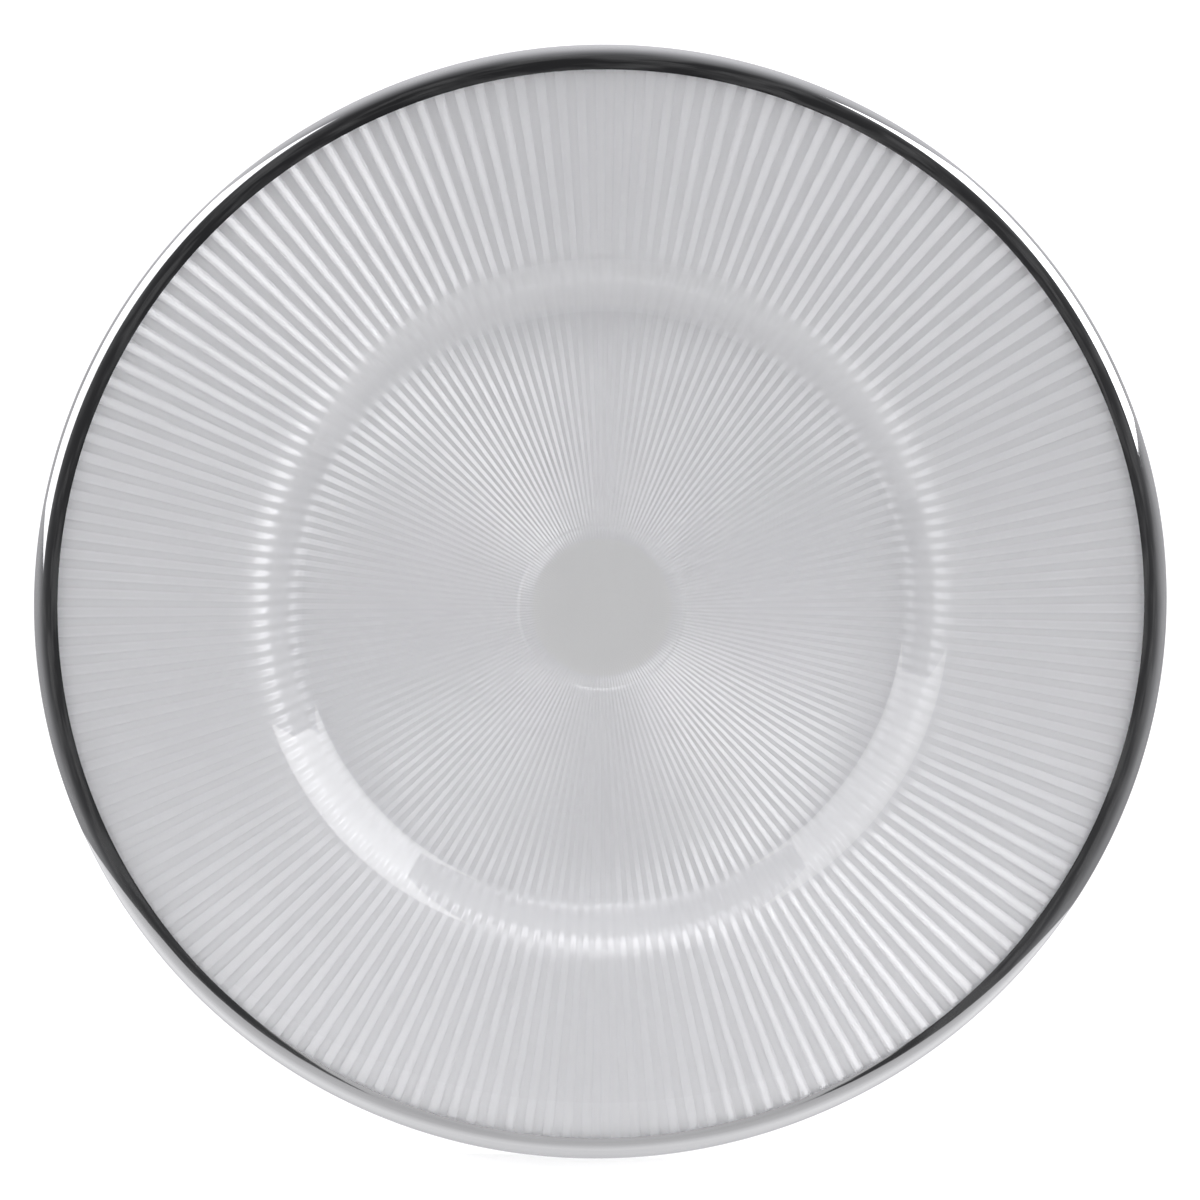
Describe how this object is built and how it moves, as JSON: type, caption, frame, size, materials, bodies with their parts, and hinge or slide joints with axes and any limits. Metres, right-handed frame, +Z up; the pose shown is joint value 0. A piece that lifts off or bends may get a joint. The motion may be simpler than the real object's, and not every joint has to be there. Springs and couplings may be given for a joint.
{
  "type": "glass charger plate",
  "caption": "Round shallow ribbed glass plate with a pearl lacquered back, a flat well, a broad flange and a silvered rim.",
  "frame": {"origin": "centre of the flat disc under the well, on the surface that the plate stands on", "axes": "+Z up along the plate's axis of symmetry; X and Y lie in the table"},
  "size_m": [0.3299, 0.33, 0.0173],
  "materials": {
    "clear_glass": "fire-polished pressed clear glass",
    "pearl_lacquer": "sprayed pearl lacquer seen through the glass",
    "burnished_silver": "mirror silver film"
  },
  "bodies": {
    "root": {"glass_plate": "clear_glass", "pearl_coat_well": "pearl_lacquer", "pearl_coat_rim": "pearl_lacquer", "silver_rim_band": "burnished_silver"}
  },
  "joints": []
}
